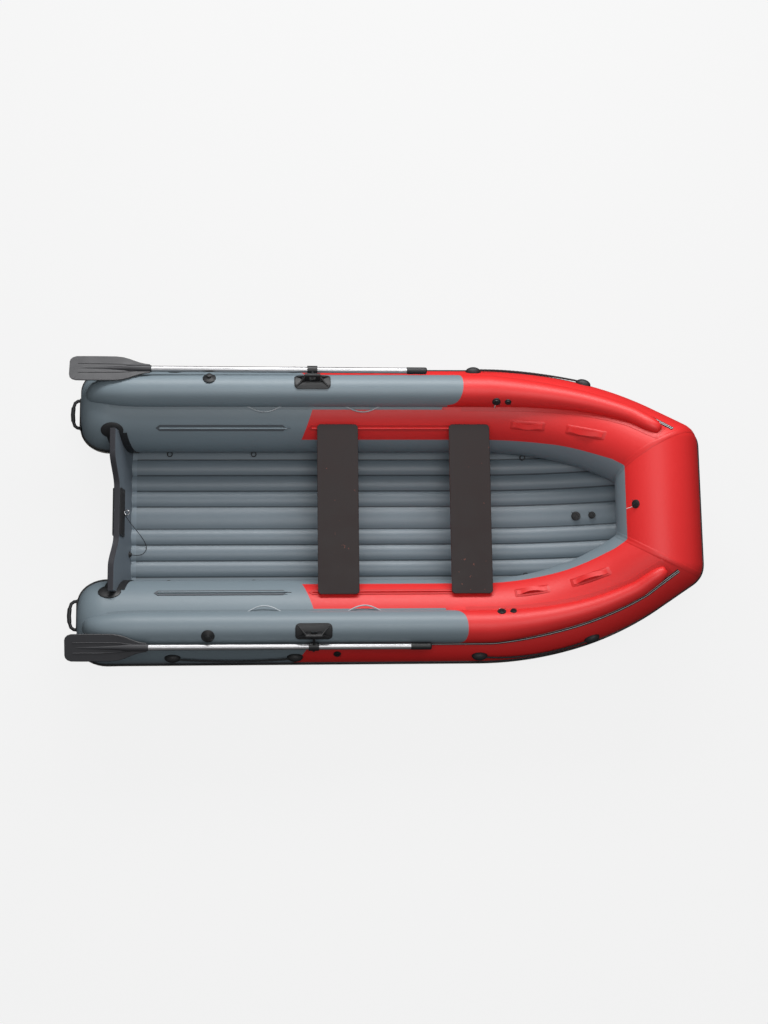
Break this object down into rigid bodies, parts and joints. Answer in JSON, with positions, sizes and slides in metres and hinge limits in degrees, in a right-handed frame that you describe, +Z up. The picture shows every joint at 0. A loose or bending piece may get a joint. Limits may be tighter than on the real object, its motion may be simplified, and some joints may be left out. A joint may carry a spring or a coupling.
{
  "type": "inflatable boat",
  "caption": "Inflatable motor boat with bulwark tubes, air floor, leaning transom board, two sliding bench seats and two oars stowed along the sides.",
  "frame": {"origin": "on the ground, on the centreline, half way between the stern ends of the tubes and the bow strake", "axes": "+X forward to the bow, +Y to port, +Z up"},
  "size_m": [3.6377, 1.8006, 0.8057],
  "materials": {
    "pvc_tube": "satin PVC-coated fabric, grey aft and red forward",
    "pvc_floor": "satin PVC-coated fabric",
    "rubbing_strip": "satin black PVC profile",
    "pvc_red_trim": "satin PVC",
    "pvc_grey_trim": "satin PVC",
    "seat_plywood": "dark brown film-faced plywood",
    "transom_board": "grey coated plywood",
    "aluminium_tube": "drawn and anodised",
    "stainless_steel": "polished",
    "black_plastic": "moulded, satin"
  },
  "bodies": {
    "hull": {"aft_rail_port": "pvc_grey_trim", "aft_rail_starboard": "pvc_grey_trim", "air_floor": "pvc_floor", "bow_valve": "black_plastic", "bulwark_port": "pvc_tube", "bulwark_starboard": "pvc_tube", "bulwark_valves_port": "black_plastic", "bulwark_valves_starboard": "black_plastic", "drain_plug": "black_plastic", "eyelets_port": "black_plastic", "eyelets_starboard": "black_plastic", "floor_valves": "black_plastic", "joint_tape_port": "rubbing_strip", "joint_tape_starboard": "rubbing_strip", "keel_strip": "rubbing_strip", "mid_rail_port": "pvc_red_trim", "mid_rail_starboard": "pvc_red_trim", "motor_plate_aft": "black_plastic", "motor_plate_inner": "black_plastic", "paddle_clip_port": "black_plastic", "paddle_clip_starboard": "black_plastic", "rope_holders_port": "black_plastic", "rope_holders_starboard": "black_plastic", "rowlock_base_port": "black_plastic", "rowlock_base_starboard": "black_plastic", "side_fitting": "black_plastic", "stern_handle_port": "black_plastic", "stern_handle_starboard": "black_plastic", "strake_bow": "rubbing_strip", "strake_port": "rubbing_strip", "strake_starboard": "rubbing_strip", "strap_aft_port": "pvc_grey_trim", "strap_aft_starboard": "pvc_grey_trim", "strap_bow_port": "pvc_red_trim", "strap_bow_starboard": "pvc_red_trim", "tow_ring": "black_plastic", "transom": "transom_board", "transom_eyebolt": "stainless_steel", "transom_holder_port": "rubbing_strip", "transom_holder_starboard": "rubbing_strip", "tube_bow": "pvc_tube", "tube_port": "pvc_tube", "tube_starboard": "pvc_tube"},
    "seat_aft": {"seat_board_aft": "seat_plywood", "seat_sliders_aft": "black_plastic"},
    "seat_fore": {"seat_board_fore": "seat_plywood", "seat_sliders_fore": "black_plastic"},
    "oar_port": {"oar_blade_port": "black_plastic", "oar_grip_port": "black_plastic", "oar_shaft_port": "aluminium_tube", "rowlock_yoke_port": "black_plastic"},
    "oar_starboard": {"oar_blade_starboard": "black_plastic", "oar_grip_starboard": "black_plastic", "oar_shaft_starboard": "aluminium_tube", "rowlock_yoke_starboard": "black_plastic"}
  },
  "joints": [
    {"name": "seat_aft_slide", "type": "slide", "parent": "hull", "child": "seat_aft", "axis": [1, 0, 0], "range_m": [-0.08, 0.24]},
    {"name": "seat_fore_slide", "type": "slide", "parent": "hull", "child": "seat_fore", "axis": [1, 0, 0], "range_m": [-0.24, 0]},
    {"name": "oar_port_lift", "type": "hinge", "parent": "hull", "child": "oar_port", "pos_m": [-0.436, 0.74946, 0.60993], "axis": [1, 0, 0], "range_deg": [0, 146]},
    {"name": "oar_starboard_lift", "type": "hinge", "parent": "hull", "child": "oar_starboard", "pos_m": [-0.436, -0.74946, 0.60993], "axis": [-1, 0, 0], "range_deg": [0, 146]}
  ]
}
